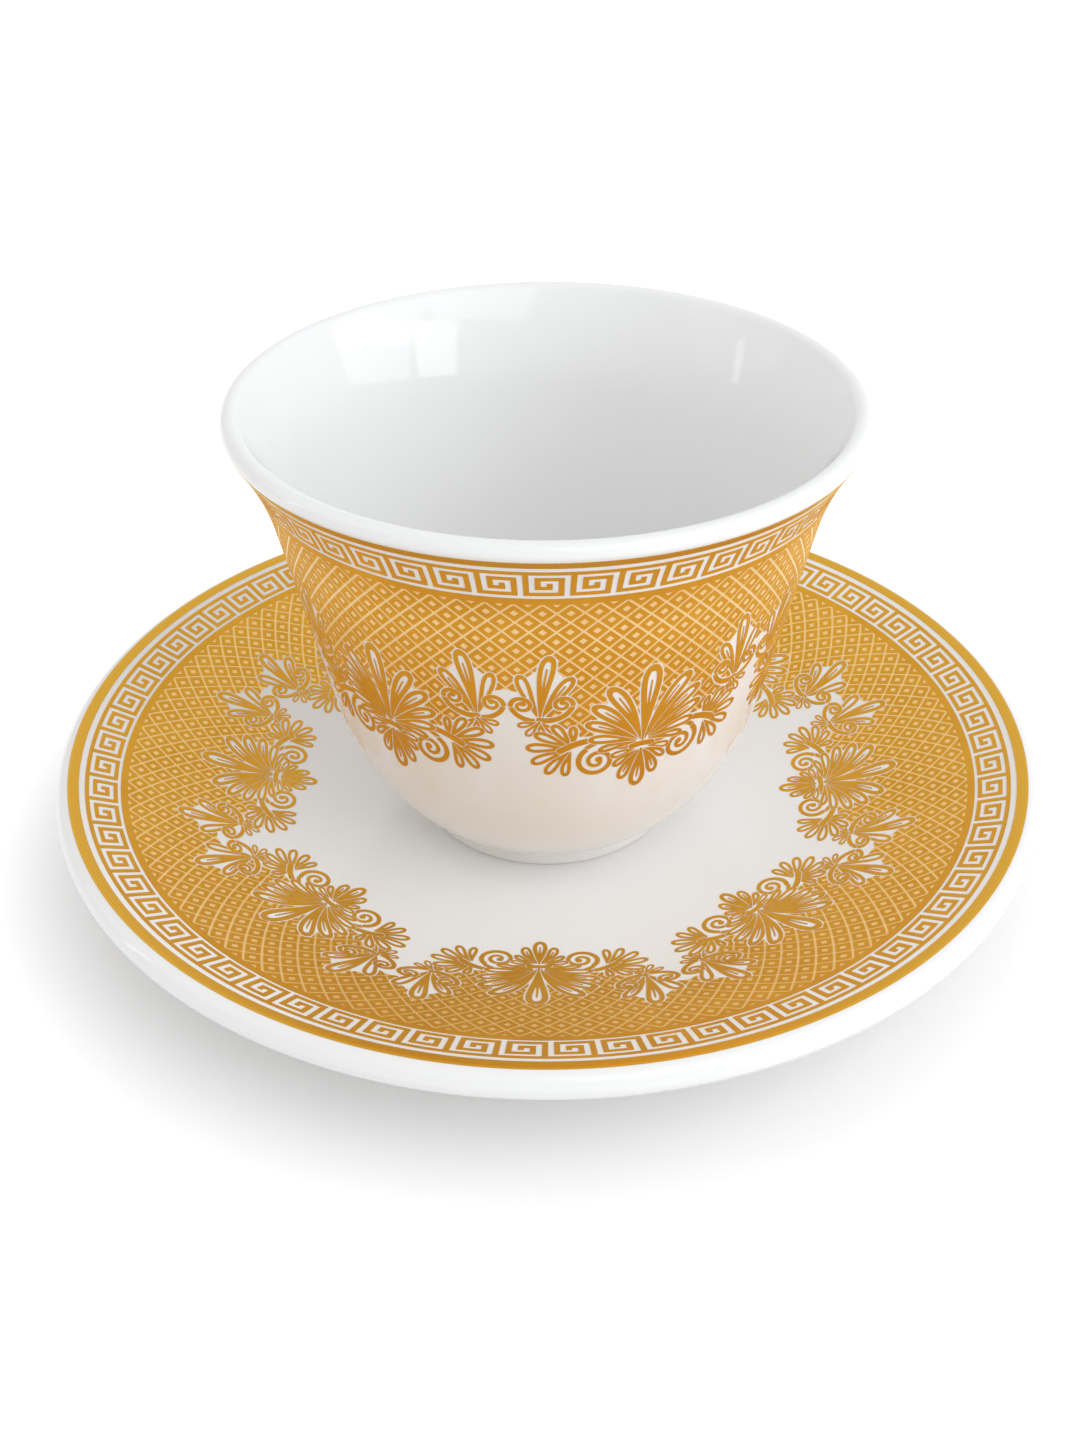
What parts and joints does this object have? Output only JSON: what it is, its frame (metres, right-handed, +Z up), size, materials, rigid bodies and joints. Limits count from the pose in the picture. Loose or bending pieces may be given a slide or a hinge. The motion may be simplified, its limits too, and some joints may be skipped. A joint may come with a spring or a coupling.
{
  "type": "arabic coffee cup with saucer",
  "caption": "Flared porcelain coffee cup without a handle, standing loose on a round dished saucer, with gold line, key, lattice and leaf bands.",
  "frame": {"origin": "on the table, under the centre of the saucer", "axes": "+Z up along the axis of the cup and the saucer, X and Y free to choose, since both are round"},
  "size_m": [0.118, 0.118, 0.0591],
  "materials": {
    "white_porcelain": "clear glossy glaze over white porcelain",
    "banded_gold": "bright gold line, brushed on and fired",
    "printed_gold": "bright gold transfer print, fired on the glaze"
  },
  "bodies": {
    "saucer": {"saucer_body": "white_porcelain", "saucer_rim_line": "banded_gold", "saucer_key_band": "printed_gold", "saucer_lattice_band": "printed_gold", "saucer_leaf_border": "printed_gold"},
    "cup": {"cup_body": "white_porcelain", "cup_rim_line": "banded_gold", "cup_key_band": "printed_gold", "cup_lattice_band": "printed_gold", "cup_leaf_border": "printed_gold"}
  },
  "joints": [
    {"name": "cup_lift", "type": "slide", "parent": "saucer", "child": "cup", "axis": [0, 0, 1], "range_m": [0, 0.08]}
  ]
}
